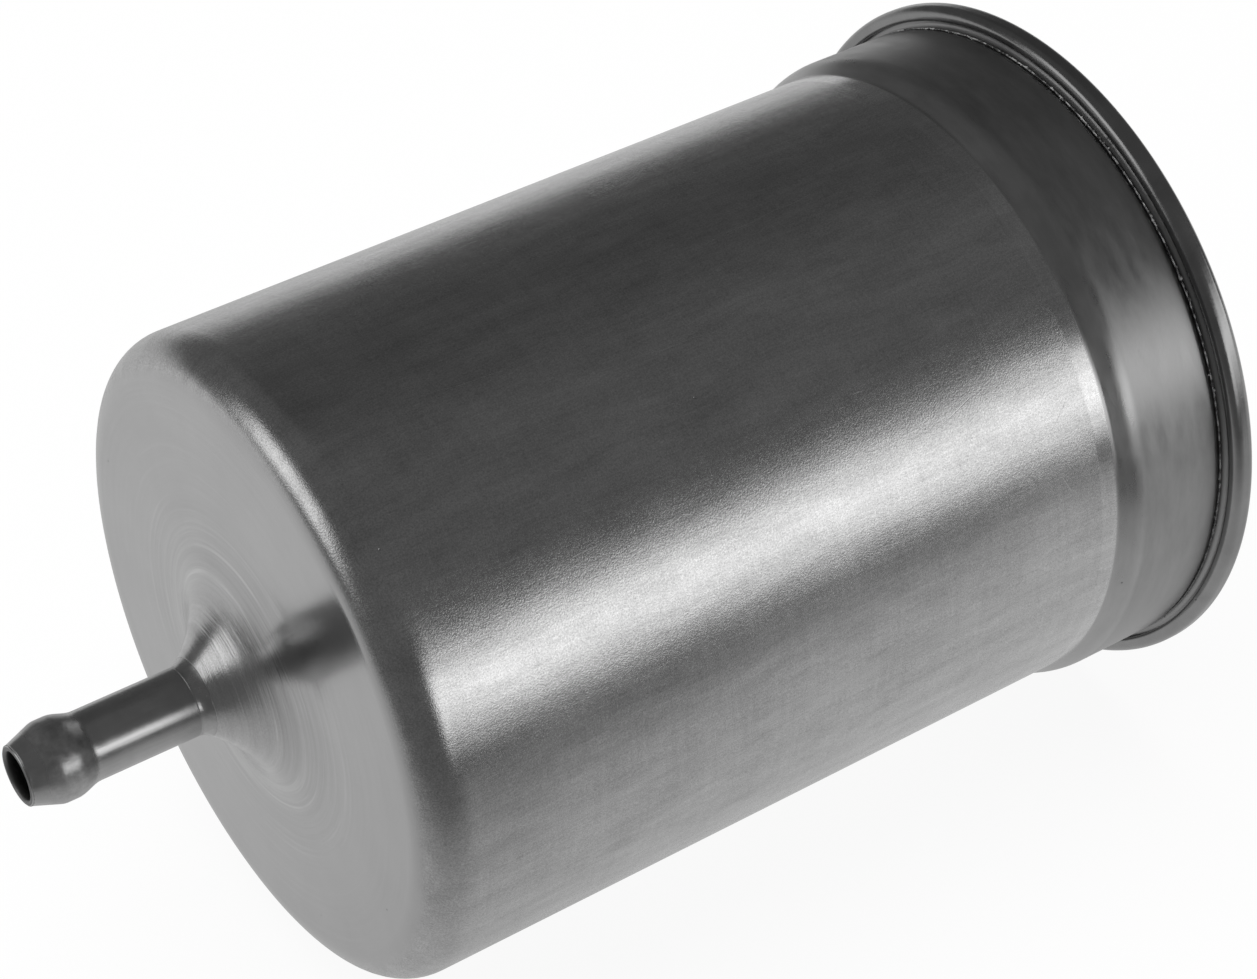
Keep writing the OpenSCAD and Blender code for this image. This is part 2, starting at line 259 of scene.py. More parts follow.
def pipe_outline(tip, inner):
    """A beaded hose pipe from its tip to its inner end, with both ends rounded."""
    way = math.copysign(1, inner - tip)
    steps = [bead_end * i / 48 for i in range(49)]
    steps += [bead_end + 0.3 * MM, abs(inner - tip)]
    outer = [(tip + way * u, spigot_r(u)) for u in steps]
    land = [(tip + way * u, tip_r - pipe_t) for u in (0.0, bore_land)]
    bore = land + [(tip + way * u, spigot_r(u) - pipe_t) for u in steps if u > bore_land * 1.2]
    points = outer[1:-1] + rounded_end(outer[-1], bore[-1], outer[-2])
    points += bore[-2:0:-1] + rounded_end(bore[0], outer[0], bore[1])
    return held(points)


def braze_outline(edge_x, way, t):
    """Braze that carries the end of a drawn fillet of sheet t on to the pipe. It starts
    just under the sheet's visible edge, which is at edge_x."""
    rise = boss_r + t * math.sin(boss_lean) - pipe_r
    length = 2 * rise * math.tan(boss_lean)
    back = edge_x - way * t * math.cos(boss_lean)
    slope = [(edge_x + way * length * i / 12, pipe_r + 0.97 * rise * (1 - i / 12) ** 2)
             for i in (0, 0.3, *range(1, 13))]
    return slope + [(edge_x + way * length, pipe_r - 0.01 * MM), (back, pipe_r - 0.01 * MM),
                    (back, boss_r)]


# ---------------------------------------------------------------- node trees
class Wire:
    """A number or vector in a node tree. Arithmetic on it adds the nodes."""

    def __init__(self, plan, socket):
        self.plan = plan
        self.socket = socket

    def _math(self, operation, *values):
        return self.plan.add("ShaderNodeMath", {"operation": operation}, dict(enumerate(values)))

    def __add__(self, other):
        return self._math("ADD", self, other)

    def __sub__(self, other):
        return self._math("SUBTRACT", self, other)

    def __mul__(self, other):
        return self._math("MULTIPLY", self, other)

    def __truediv__(self, other):
        return self._math("DIVIDE", self, other)

    def __pow__(self, other):
        return self._math("POWER", self, other)

    def __neg__(self):
        return self * -1

    def __rsub__(self, other):
        return self._math("SUBTRACT", other, self)

    __radd__ = __add__
    __rmul__ = __mul__

    def run(self, operation, *values):
        return self._math(operation, self, *values)

    def clamped(self):
        return self.run("MAXIMUM", 0.0).run("MINIMUM", 1.0)

    def ramp(self, low, high):
        """0 below low and 1 above high, with a smooth rise between."""
        settings = {"interpolation_type": "SMOOTHSTEP"}
        return self.plan.add("ShaderNodeMapRange", settings,
                             {"Value": self, "From Min": low, "From Max": high})

    def parts(self):
        node = self.plan.add("ShaderNodeSeparateXYZ", {}, {0: self}).socket.node
        return [Wire(self.plan, socket) for socket in node.outputs]


class Plan:
    """A node tree that is being written."""

    def __init__(self, tree):
        self.tree = tree

    def add(self, kind, settings, inputs, out=0):
        node = self.tree.nodes.new(kind)
        for name, value in settings.items():
            setattr(node, name, value)
        for name, value in inputs.items():
            if isinstance(value, Wire):
                self.tree.links.new(value.socket, node.inputs[name])
            else:
                node.inputs[name].default_value = value
        return Wire(self, node.outputs[out])

    def vector(self, x, y, z):
        return self.add("ShaderNodeCombineXYZ", {}, {0: x, 1: y, 2: z})

    def noise(self, place, scale, detail=2.0, roughness=0.5):
        inputs = {"Vector": place, "Scale": scale, "Detail": detail, "Roughness": roughness}
        return self.add("ShaderNodeTexNoise", {}, inputs)

    def cells(self, place, scale, out="Distance"):
        return self.add("ShaderNodeTexVoronoi", {}, {"Vector": place, "Scale": scale}, out)

    def mix(self, share, low, high):
        """A colour from low to high."""
        return self.add("ShaderNodeMix", {"data_type": "RGBA"}, {0: share, 6: low, 7: high}, 2)


# ---------------------------------------------------------------- geometry trees
def geometry_tree(name, inputs):
    """A new geometry tree with those named inputs, and its plan and input wires."""
    tree = bpy.data.node_groups.new(name, "GeometryNodeTree")
    tree.interface.new_socket("Geometry", in_out="INPUT", socket_type="NodeSocketGeometry")
    for label, kind in inputs.items():
        tree.interface.new_socket(label, in_out="INPUT", socket_type="NodeSocket" + kind)
    tree.interface.new_socket("Geometry", in_out="OUTPUT", socket_type="NodeSocketGeometry")
    plan = Plan(tree)
    source = tree.nodes.new("NodeGroupInput")
    wires = {socket.name: Wire(plan, socket) for socket in source.outputs if socket.name}
    return tree, plan, wires


def close_tree(plan, shape, material):
    """Smooths the shape, gives it its material and makes it the tree's result."""
    shape = plan.add("GeometryNodeSetShadeSmooth", {}, {"Geometry": shape})
    shape = plan.add("GeometryNodeRealizeInstances", {}, {"Geometry": shape})
    shape = plan.add("GeometryNodeSetMaterial", {}, {"Geometry": shape, "Material": material})
    result = plan.tree.nodes.new("NodeGroupOutput")
    plan.tree.links.new(shape.socket, result.inputs["Geometry"])


def polar(plan, x, r, angle):
    """The point at radius r and that angle about the X axis; angle 0 is +Y."""
    return plan.vector(x, r * angle.run("COSINE"), r * angle.run("SINE"))


def make_turning_tree():
    """Turns the host's outline, whose points are (axial, radial, 0), about X."""
    tree, plan, wires = geometry_tree("turned", {"Segments": "Int", "Material": "Material"})
    outline = wires["Geometry"]
    count = plan.add("GeometryNodeAttributeDomainSize", {}, {"Geometry": outline}, "Point Count")
    row = wires["Segments"] + 1
    grid = plan.add("GeometryNodeMeshGrid", {}, {"Vertices X": count, "Vertices Y": row}, "Mesh")
    index = plan.add("GeometryNodeInputIndex", {}, {})
    along = (index / row + 0.0001).run("FLOOR")
    angle = (index - along * row) * math.tau / wires["Segments"]
    place = plan.add("GeometryNodeInputPosition", {}, {})
    sampled = plan.add("GeometryNodeSampleIndex", {"data_type": "FLOAT_VECTOR"},
                       {"Geometry": outline, "Value": place, "Index": along})
    x, r, _ = sampled.parts()
    moved = plan.add("GeometryNodeSetPosition", {},
                     {"Geometry": grid, "Position": polar(plan, x, r, angle)})
    merged = plan.add("GeometryNodeMergeByDistance", {}, {"Geometry": moved, "Distance": 1e-7})
    close_tree(plan, merged, wires["Material"])
    return tree


def make_pleating_tree():
    """Folds a sheet of paper into a star of round-folded pleats about X."""
    tree, plan, wires = geometry_tree("pleated", {
        "Pleats": "Int", "Steps": "Int", "Rows": "Int", "Start": "Float", "Length": "Float",
        "Outer Radius": "Float", "Inner Radius": "Float", "Sharpness": "Float",
        "Material": "Material",
    })
    row = wires["Pleats"] * wires["Steps"] + 1
    grid = plan.add("GeometryNodeMeshGrid", {}, {"Vertices X": wires["Rows"], "Vertices Y": row},
                    "Mesh")
    index = plan.add("GeometryNodeInputIndex", {}, {})
    along = (index / row + 0.0001).run("FLOOR")
    around = index - along * row
    phase = around / wires["Steps"]
    fold = ((phase * math.tau).run("COSINE") * wires["Sharpness"]).run("TANH")
    fold = fold / wires["Sharpness"].run("TANH")
    middle = (wires["Outer Radius"] + wires["Inner Radius"]) / 2
    reach = (wires["Outer Radius"] - wires["Inner Radius"]) / 2
    x = wires["Start"] + wires["Length"] * along / (wires["Rows"] - 1)
    angle = phase * math.tau / wires["Pleats"]
    lean = plan.noise(plan.vector(x * 18, angle.run("SINE") * 9, angle.run("COSINE") * 9), 1.0)
    angle = angle + (lean - 0.5) * 0.012
    moved = plan.add("GeometryNodeSetPosition", {},
                     {"Geometry": grid, "Position": polar(plan, x, middle + reach * fold, angle)})
    merged = plan.add("GeometryNodeMergeByDistance", {}, {"Geometry": moved, "Distance": 1e-6})
    close_tree(plan, merged, wires["Material"])
    return tree


def make_coiling_tree():
    """Winds a coil spring with closed end turns about X."""
    tree, plan, wires = geometry_tree("coiled", {
        "Steps": "Int", "Sides": "Int", "Turns": "Float", "Start": "Float", "Length": "Float",
        "End Pitch": "Float", "Coil Radius": "Float", "Wire Radius": "Float",
        "Material": "Material",
    })
    line = plan.add("GeometryNodeMeshLine", {}, {"Count": wires["Steps"] * wires["Turns"] + 1})
    index = plan.add("GeometryNodeInputIndex", {}, {})
    turn = index / wires["Steps"]
    middle = (wires["Length"] - 2 * wires["End Pitch"]) / (wires["Turns"] - 2)
    last = wires["Turns"] - 1
    x = wires["Start"] + wires["End Pitch"] * turn.run("MINIMUM", 1.0)
    x = x + middle * (turn.run("MINIMUM", last) - 1).run("MAXIMUM", 0.0)
    x = x + wires["End Pitch"] * (turn - last).run("MAXIMUM", 0.0)
    place = polar(plan, x, wires["Coil Radius"], turn * math.tau)
    line = plan.add("GeometryNodeSetPosition", {}, {"Geometry": line, "Position": place})
    path = plan.add("GeometryNodeMeshToCurve", {}, {"Mesh": line})
    wire = plan.add("GeometryNodeCurvePrimitiveCircle", {},
                    {"Resolution": wires["Sides"], "Radius": wires["Wire Radius"]})
    swept = plan.add("GeometryNodeCurveToMesh", {},
                     {"Curve": path, "Profile Curve": wire, "Fill Caps": True})
    close_tree(plan, swept, wires["Material"])
    return tree


def make_squeezing_tree():
    """A bead of squeezed-out sealant in a groove about X: a thin uneven cord with
    small drops of many sizes strewn along it."""
    tree, plan, wires = geometry_tree("squeezed out", {
        "Drops": "Int", "Place": "Float", "Radius": "Float", "Drop Size": "Float",
        "Cord Size": "Float", "Seed": "Int", "Material": "Material",
    })
    line = plan.add("GeometryNodeMeshLine", {}, {"Count": wires["Drops"]})
    index = plan.add("GeometryNodeInputIndex", {}, {})

    def chance(low, high, offset):
        seed = wires["Seed"] + offset
        return plan.add("FunctionNodeRandomValue", {"data_type": "FLOAT"},
                        {2: low, 3: high, "ID": index, "Seed": seed}, 1)

    angle = (index + chance(0.0, 1.0, 0)) * math.tau / wires["Drops"]
    spread = wires["Drop Size"] * 0.5
    x = wires["Place"] + spread * chance(-1.0, 1.0, 1)
    r = wires["Radius"] + spread * chance(-1.0, 1.0, 2)
    points = plan.add("GeometryNodeSetPosition", {},
                      {"Geometry": line, "Position": polar(plan, x, r, angle)})
    drop = plan.add("GeometryNodeMeshIcoSphere", {}, {"Radius": 1.0, "Subdivisions": 2}, "Mesh")
    patch = plan.noise(polar(plan, 0.0, 1.0, angle), 9.0).ramp(0.40, 0.62)
    size = wires["Drop Size"] * (0.15 + (0.25 + 0.6 * chance(0.0, 1.0, 5) ** 2) * patch)
    long = size * chance(0.8, 2.2, 4)
    drops = plan.add("GeometryNodeInstanceOnPoints", {}, {
        "Points": points, "Instance": drop,
        "Rotation": plan.vector(angle, 0.0, 0.0), "Scale": plan.vector(size, size, long),
    })
    circle = plan.add("GeometryNodeCurvePrimitiveCircle", {},
                      {"Resolution": 360, "Radius": wires["Radius"]})
    stood = plan.add("GeometryNodeTransform", {}, {
        "Geometry": circle, "Translation": plan.vector(wires["Place"], 0.0, 0.0),
        "Rotation": (0.0, math.pi / 2, 0.0),
    })
    thread = plan.add("GeometryNodeCurvePrimitiveCircle", {},
                      {"Resolution": 10, "Radius": wires["Cord Size"]})
    cord = plan.add("GeometryNodeCurveToMesh", {}, {"Curve": stood, "Profile Curve": thread})
    joined = tree.nodes.new("GeometryNodeJoinGeometry")
    for shape in (drops, cord):
        tree.links.new(shape.socket, joined.inputs[0])
    close_tree(plan, Wire(plan, joined.outputs[0]), wires["Material"])
    return tree


def baked(name, tree, values, points=((0.0, 0.0),), closed=False):
    """The plain mesh that a geometry tree makes from a host outline."""
    host_mesh = bpy.data.meshes.new(name + "_host")
    count = len(points)
    edges = [(i, (i + 1) % count) for i in range(count if closed else count - 1)]
    host_mesh.from_pydata([(*point, 0.0) for point in points], edges, [])
    host = bpy.data.objects.new(name + "_host", host_mesh)
    bpy.context.scene.collection.objects.link(host)
    modifier = host.modifiers.new("shape", "NODES")
    modifier.node_group = tree
    for item in tree.interface.items_tree:
        if item.in_out == "INPUT" and item.name in values:
            modifier[item.identifier] = values[item.name]
    host.update_tag()
    graph = bpy.context.evaluated_depsgraph_get()
    mesh = bpy.data.meshes.new_from_object(host.evaluated_get(graph))
    bpy.data.objects.remove(host)
    mesh.name = name
    return mesh


def outward(mesh):
    """Turns every face of a closed mesh outwards."""
    shape = bmesh.new()
    shape.from_mesh(mesh)
    bmesh.ops.remove_doubles(shape, verts=shape.verts, dist=1e-7)
    bmesh.ops.recalc_face_normals(shape, faces=shape.faces)
    shape.to_mesh(mesh)
    shape.free()
    return mesh


def stand_in(name, mesh, body, slot, *nodes):
    """Puts a finished mesh into the scene in place of the CAD nodes it stands for."""
    piece = bpy.data.objects.new(name, mesh)
    bpy.context.scene.collection.objects.link(piece)
    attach(piece, body)
    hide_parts(*nodes)
    return piece


turning_tree = make_turning_tree()
LARGE, MIDDLE, SMALL = 320, 192, 128    # segments around a turned piece


def turned(name, points, node, body, slot, material, segments=MIDDLE):
    values = {"Segments": segments, "Material": material}
    mesh = baked(name, turning_tree, values, points + points[:1])
    return stand_in(name, outward(mesh), body, slot, node)


# ---------------------------------------------------------------- materials
def grey(value):
    return (value, value, value, 1.0)


class Finish(Plan):
    """A material being written. Places are in millimetres, in the part's frame."""

    def __init__(self, name, **constants):
        self.material = bpy.data.materials.new(name)
        self.material.use_nodes = True
        super().__init__(self.material.node_tree)
        self.shader = self.tree.nodes["Principled BSDF"]
        for socket, value in constants.items():
            self.shader.inputs[socket.replace("_", " ")].default_value = value
        place = self.add("ShaderNodeTexCoord", {}, {}, "Object")
        self.place = self.add("ShaderNodeVectorMath", {"operation": "SCALE"},
                              {0: place, "Scale": 1000.0})
        self.x, self.y, self.z = self.place.parts()

    def radius(self, y=0.0, z=0.0):
        """Distance from the line along X through y, z."""
        return ((self.y - y) ** 2 + (self.z - z) ** 2) ** 0.5

    def lengthwise(self, scale, stretch=0.04, detail=3.0):
        """Streaks that run along the filter."""
        return self.noise(self.vector(self.x * stretch, self.y, self.z), scale, detail)

    def set(self, socket, wire):
        self.tree.links.new(wire.socket, self.shader.inputs[socket])

    def paint(self, value):
        """Sets the base colour to a grey of that value."""
        self.set("Base Color", self.mix(value.clamped(), grey(0.0), grey(1.0)))

    def bump(self, height):
        """height is in millimetres."""
        inputs = {"Height": height, "Distance": MM, "Strength": 1.0}
        self.set("Normal", self.add("ShaderNodeBump", {}, inputs))

    def pits(self, scale, size, share):
        """1 inside small scattered pits, of which there is one in a share of the cells."""
        near = 1 - self.cells(self.place, scale).ramp(size * 0.5, size)
        pick = self.cells(self.place, scale, "Color").parts()[0]
        return near * pick.run("LESS_THAN", share)

    def scratch(self, x, angle, length, turn, width):
        """1 along a fine scratch on the can's wall: where it is along the filter, the
        angle around from the top towards the front, its length, how far it is turned
        from lengthwise, and its width."""
        around = self.angle * (can_r / MM)
        u = self.x - x
        v = around - math.radians(angle) * can_r / MM
        cos, sin = math.cos(math.radians(turn)), math.sin(math.radians(turn))
        along = u * cos + v * sin
        across = v * cos - u * sin + along.run("SINE") * width
        line = 1 - (across / width).run("ABSOLUTE").run("MINIMUM", 1.0)
        ends = 1 - ((along * 2 / length) ** 2.0).run("MINIMUM", 1.0)
        return line * ends

    @property
    def angle(self):
        """The angle around the filter, from the top towards the front."""
        return (-self.y).run("ARCTAN2", self.z)


def drawn_steel():
    """The can: satin bottom with rings from forming, grained wall with marks along and
    around it, and a duller mouth that the expanding tool has smeared."""
    m = Finish("drawn_steel", Metallic=1.0)
    on_wall = m.x.ramp(bottom_x / MM + 0.02, bottom_x / MM + 0.7)
    on_bell = 1 - m.x.ramp(bottom_x / MM - 3.0, bottom_x / MM - 0.6)
    mouth = m.x.ramp(wall_x1 / MM - 0.15, wall_x1 / MM + 0.15)
    flare = mouth * (1 - m.x.ramp(collar_x0 / MM - 0.8, collar_x0 / MM))
    band = m.x.ramp(wall_x1 / MM - 2.3, wall_x1 / MM - 1.9) * (1 - mouth)
    bare = on_wall * (1 - mouth)
    grain = m.noise(m.place, 5.5, 2.0, 0.7)
    drawn = m.lengthwise(1.3, 0.05)
    drawn_fine = m.lengthwise(4.5, 0.04)
    hoops = m.noise(m.vector(m.x, m.y * 0.06, m.z * 0.06), 1.6, 3.0)
    smear = m.noise(m.vector(m.x * 0.9, m.y * 0.25, m.z * 0.25), 0.7, 4.0, 0.6)
    cloud = m.noise(m.place, 0.09, 4.0, 0.6)
    stain = m.noise(m.vector(m.x * 0.3, m.y, m.z), 0.35, 4.0, 0.65)
    off_centre = m.radius(0.7, -0.5)
    rings = m.noise(m.vector(off_centre, m.y * 0.02, m.z * 0.02), 1.5, 4.0, 0.7)
    ring_share = (1 - on_wall) * (1 - off_centre.ramp(12.0, 25.0) * 0.85)
    turned_line = rings.ramp(0.56, 0.66) * m.noise(m.place, 0.12, 1.0).ramp(0.38, 0.60)
    pits = m.pits(0.16, 0.028, 0.5)
    nicks = [
        (-6.0, 33.0, 2.6, 35.0, 0.10), (14.0, 43.0, 2.0, 10.0, 0.14), (-22.0, 35.0, 3.0, 25.0, 0.10),
        (36.0, 72.0, 4.0, 70.0, 0.09), (37.0, 60.0, 5.0, -40.0, 0.06), (30.0, 12.0, 2.4, 60.0, 0.12),
        (-2.0, 24.0, 26.0, 4.0, 0.10), (16.0, 8.0, 30.0, -3.0, 0.10), (-24.0, 16.0, 16.0, 6.0, 0.08),
        (25.0, 52.0, 9.0, -16.0, 0.06),
    ]
    scuffs = m.scratch(*nicks[0])
    for nick in nicks[1:]:
        scuffs = scuffs + m.scratch(*nick)
    scuffs = scuffs.clamped()
    grain_share = bare * (1 - band * 0.6) + mouth * 0.35 + (1 - on_wall) * 0.10 + on_bell * 0.45
    height = grain * grain_share * 0.020
    height = height + (drawn * 0.004 + drawn_fine * 0.0008 + hoops * 0.001) * bare
    height = height + rings * ring_share * 0.060 + smear * mouth * 0.014
    height = height + m.noise(m.place, 0.10, 1.0) * 0.02 - pits * 0.03 - scuffs * 0.006
    m.bump(height)
    rough = 0.18 + 0.03 * bare + 0.19 * mouth + 0.05 * on_bell - 0.04 * band - 0.06 * flare
    rough = rough + (cloud - 0.5) * 0.08 + (drawn - 0.5) * 0.06 * bare
    rough = rough + (smear - 0.5) * mouth * 0.30 + scuffs * 0.08
    m.set("Roughness", rough.run("MAXIMUM", 0.08))
    tone = 0.58 + (cloud - 0.5) * 0.10 + (drawn_fine - 0.5) * 0.16 * bare
    tone = tone + (grain - 0.5) * 0.60 * (bare + on_bell * 0.5) + (stain - 0.5) * 0.34 * bare
    tone = tone + (hoops - 0.5) * 0.10 * bare + band * 0.04
    tone = tone + ((rings - 0.5) * 0.30 + turned_line * 0.07) * ring_share
    tone = tone * (1 - 0.34 * mouth + 0.12 * flare) + (smear - 0.5) * mouth * 0.22
    m.paint(tone - pits * 0.2 + scuffs * 0.06)
    return m.material


def pressed_steel():
    """The end cover: a dull pressing, turned smooth by the seaming rolls."""
    m = Finish("pressed_steel", Metallic=1.0)
    on_seam = m.radius().ramp(38.5, 39.5)
    rings = m.noise(m.vector(m.radius(-0.4, 0.6), 0.0, 0.0), 1.0, 3.0)
    cloud = m.noise(m.place, 0.10, 3.0)
    grain = m.noise(m.place, 3.2, 2.0)
    rolled = m.noise(m.vector(m.x * 3, m.y * 0.3, m.z * 0.3), 1.0, 3.0)
    smudge = m.noise(m.place, 0.30, 4.0, 0.6)
    pits = m.pits(0.3, 0.06, 0.3)
    height = rings * (1 - on_seam) * 0.020 + grain * 0.006 + rolled * on_seam * 0.012
    m.bump(height + m.noise(m.place, 0.25, 2.0) * 0.04 - pits * 0.03)
    rough = 0.27 - 0.05 * on_seam + (cloud - 0.5) * 0.10 + (smudge - 0.5) * 0.16
    m.set("Roughness", rough.run("MAXIMUM", 0.10))
    m.paint(0.33 + (cloud - 0.5) * 0.10 + (smudge - 0.5) * 0.14 - pits * 0.12)
    return m.material


def tube_steel():
    """Drawn tube: satin, with fine die lines along it, a scuffed bead and a dull bore, whose colour is darkened as
    painted shade.
    """
    m = Finish("tube_steel", Metallic=1.0)
    lines = m.lengthwise(3.0, 0.05)
    cloud = m.noise(m.place, 0.5, 3.0)
    mottle = m.noise(m.place, 1.3, 4.0, 0.6)
    on_bead = m.radius().ramp(4.02, 4.3)
    bore = 1 - m.radius().ramp(3.32, 3.38)
    height = lines * 0.006 + cloud * 0.010 + m.noise(m.place, 4.0, 2.0) * 0.004
    m.bump(height + on_bead * mottle * 0.03)
    rough = 0.25 + (cloud - 0.5) * 0.12 + on_bead * (mottle - 0.1) * 0.24 + bore * 0.25
    m.set("Roughness", rough.run("MAXIMUM", 0.10))
    tone = 0.54 + (cloud - 0.5) * 0.14 + (lines - 0.5) * 0.10 + (mottle - 0.5) * on_bead * 0.4
    # painted shade: the bore is drawn 45 % darker
    m.paint(tone * (1 - bore * 0.45))
    return m.material


def braze_metal():
    """Braze that has flowed out thinly over the steel."""
    m = Finish("braze_metal", Metallic=1.0)
    flow = m.noise(m.place, 0.9, 3.0)
    m.bump(flow * 0.04 + m.noise(m.place, 4.0, 2.0) * 0.008)
    m.set("Roughness", 0.20 + flow * 0.12)
    m.paint(0.52 + (flow - 0.5) * 0.2)
    return m.material


def hard_sealant():
    """Seaming compound that has hardened to small glassy drops."""
    m = Finish("hard_sealant", Coat_Weight=1.0, Coat_Roughness=0.05)
    patch = m.noise(m.place, 1.5, 2.0)
    # painted light and shade: the drops are drawn lighter towards the top and darker towards the bottom
    painted_top_light = m.z.ramp(-22.0, 6.0) * 0.7 + 0.3
    m.paint(0.02 + patch.ramp(0.4, 0.65) * 0.26 * painted_top_light)
    m.set("Roughness", 0.18 + patch * 0.2)
    m.bump(m.noise(m.place, 5.0, 2.0) * 0.01)
    return m.material


def sheet_metal(name, low, high, roughness, brushed=0.006):
    """A plated or tinned pressing with faint rolling lines."""
    m = Finish(name, Metallic=1.0)
    rolled = m.noise(m.vector(m.x, m.y * 0.06, m.z), 2.5, 3.0)
    cloud = m.noise(m.place, 0.35, 4.0, 0.6)
    m.bump(rolled * brushed + cloud * 0.02)
    m.set("Roughness", roughness + (cloud - 0.5) * 0.18)
    m.set("Base Color", m.mix(((cloud - 0.5) * 1.4 + 0.5).clamped(), low, high))
    return m.material


def soft_rubber(name, tone):
    m = Finish(name, Specular_IOR_Level=0.4)
    dust = m.noise(m.place, 2.5, 4.0, 0.6)
    m.bump(dust * 0.02)
    m.set("Roughness", 0.5 + dust * 0.25)
    m.set("Base Color", m.mix(dust.ramp(0.4, 0.8), grey(tone), grey(tone * 2.2)))
    return m.material


def pleat_paper():
    """Resin-cured paper: fibres, and darker where the resin has pooled in the folds."""
    m = Finish("pleat_paper", Specular_IOR_Level=0.25)
    fibres = m.noise(m.vector(m.x * 0.5, m.y, m.z), 6.0, 5.0, 0.7)
    cloud = m.noise(m.place, 0.25, 3.0)
    folded = m.radius().ramp(32.0, 33.6)
    m.bump(fibres * 0.05 + m.noise(m.place, 1.5, 3.0) * 0.03)
    m.set("Roughness", 0.72 + fibres * 0.2)
    tone = ((fibres - 0.5) * 0.8 + (cloud - 0.5) * 0.5 + 0.55 - folded * 0.25).clamped()
    m.set("Base Color", m.mix(tone, (0.52, 0.36, 0.17, 1.0), (0.86, 0.72, 0.46, 1.0)))
    return m.material


def set_glue(name, low, high):
    m = Finish(name, Coat_Weight=0.4, Coat_Roughness=0.15)
    cloud = m.noise(m.place, 0.6, 3.0)
    bubbles = m.cells(m.place, 1.6).ramp(0.0, 0.35)
    m.bump(cloud * 0.15 + bubbles * 0.05)
    m.set("Roughness", 0.25 + cloud * 0.2)
    m.set("Base Color", m.mix(cloud.ramp(0.3, 0.7), low, high))
    return m.material


def woven_gauze():
    """Nylon gauze: threads along and around the core."""
    m = Finish("woven_gauze", Specular_IOR_Level=0.5)
    around = m.angle * 12.3
    warp = (m.x * (math.tau / 0.5)).run("SINE")
    weft = (around * (math.tau / 0.515)).run("SINE")
    crossing = (warp * weft) * 0.5 + 0.5
    threads = warp.run("MAXIMUM", weft)
    m.bump(threads * 0.05 + crossing * 0.03)
    m.set("Roughness", 0.45 + crossing * 0.2)
    # painted shade: the gaps between the threads are drawn dark grey, the threads pale
    holes = (threads * 0.5 + 0.5).ramp(0.2, 0.6)
    m.set("Base Color", m.mix(holes, grey(0.35), grey(0.86)))
    return m.material


steel_can = drawn_steel()
steel_cover = pressed_steel()
steel_tube = tube_steel()
braze = braze_metal()
sealant = hard_sealant()
plated = sheet_metal("zinc_plated", (0.48, 0.48, 0.44, 1.0), (0.72, 0.72, 0.68, 1.0), 0.28)
tinned = sheet_metal("tinned_steel", grey(0.55), grey(0.78), 0.20)
spring_wire = sheet_metal("spring_wire", grey(0.22), grey(0.36), 0.30, 0.002)
gasket_rubber = soft_rubber("gasket_compound", 0.03)
seal_rubber = soft_rubber("seal_rubber", 0.018)
potting_glue = set_glue("potting_glue", (0.42, 0.22, 0.07, 1.0), (0.66, 0.42, 0.16, 1.0))
bead_glue = set_glue("bead_glue", (0.72, 0.69, 0.58, 1.0), (0.90, 0.88, 0.80, 1.0))
paper = pleat_paper()
gauze = woven_gauze()


# ---------------------------------------------------------------- the housing
def make_housing():
    can = sheet([
        (bottom_x - outlet_fillet, outlet_fillet_r, -outlet_fillet, -boss_turn, 0),
        (wall_x0, can_r - corner_r, corner_r, 180, 90),
        (wall_x1, can_r + flare_crease, -flare_crease, -90, flare_turn - 90),
        (collar_x0, collar_r - flare_shoulder, flare_shoulder, 90 + flare_turn, 90),
        (collar_x1, collar_r - neck_round, neck_round, 90, 90 - neck_turn),
        (neck_x, neck_r + neck_hollow, -neck_hollow, -90 - neck_turn, 0),
        (flange_x, flange_r, 0, 180),
    ], can_t)
    turned("can_shell", can, "housing_can", "housing", "can_steel", steel_can, LARGE)

    cover = sheet([
        (panel_x + inlet_fillet, inlet_fillet_r, -inlet_fillet, boss_turn - 180, -180),
        (panel_x + chuck_round, chuck_r - chuck_round, -chuck_round, 180, 90),
        (seam_x1 - chuck_round, chuck_r + chuck_round, chuck_round, -90, 0),
        (seam_x1 - seam_round, seam_r - seam_round, seam_round, 0, 90),
        (seam_x0 + seam_round, seam_r - seam_round, seam_round, 90, 180),
        (seam_x0, lip_r, 0, 180),
    ], cover_t)
    turned("cover_shell", cover, "end_cover", "housing", "cover_steel", steel_cover, LARGE)

    outlet = pipe_outline(outlet_tip, outlet_inner)
    turned("outlet_spigot", outlet, "outlet_pipe", "housing", "pipe_steel", steel_tube, SMALL)
    inlet = pipe_outline(inlet_tip, inlet_inner)
    turned("inlet_spigot", inlet, "inlet_pipe", "housing", "pipe_steel", steel_tube, SMALL)

    outlet_edge = bottom_x - outlet_fillet * (1 - math.cos(boss_lean))
    outlet_braze = braze_outline(outlet_edge, -1, can_t)
    turned("outlet_braze", outlet_braze, "outlet_braze_ring", "housing", "braze", braze, SMALL)
    inlet_edge = panel_x + inlet_fillet * (1 - math.cos(boss_lean))
    inlet_braze = braze_outline(inlet_edge, 1, cover_t)
    turned("inlet_braze", inlet_braze, "inlet_braze_ring", "housing", "braze", braze, SMALL)

    gasket = block(gasket_x, gasket_x + gasket_t, neck_r + neck_hollow, flange_r)
    turned("seam_packing", gasket, "seam_gasket", "housing", "gasket_rubber", gasket_rubber)

    drops = {"Drops": 420, "Place": neck_x - 0.35 * MM, "Radius": neck_r + 0.4 * MM,
             "Drop Size": 0.24 * MM, "Cord Size": 0.10 * MM, "Seed": 7, "Material": sealant}
    mesh = baked("squeezed_sealant", make_squeezing_tree(), drops)
    stand_in("squeezed_sealant", outward(mesh), "housing", "sealant", "sealant_bead")


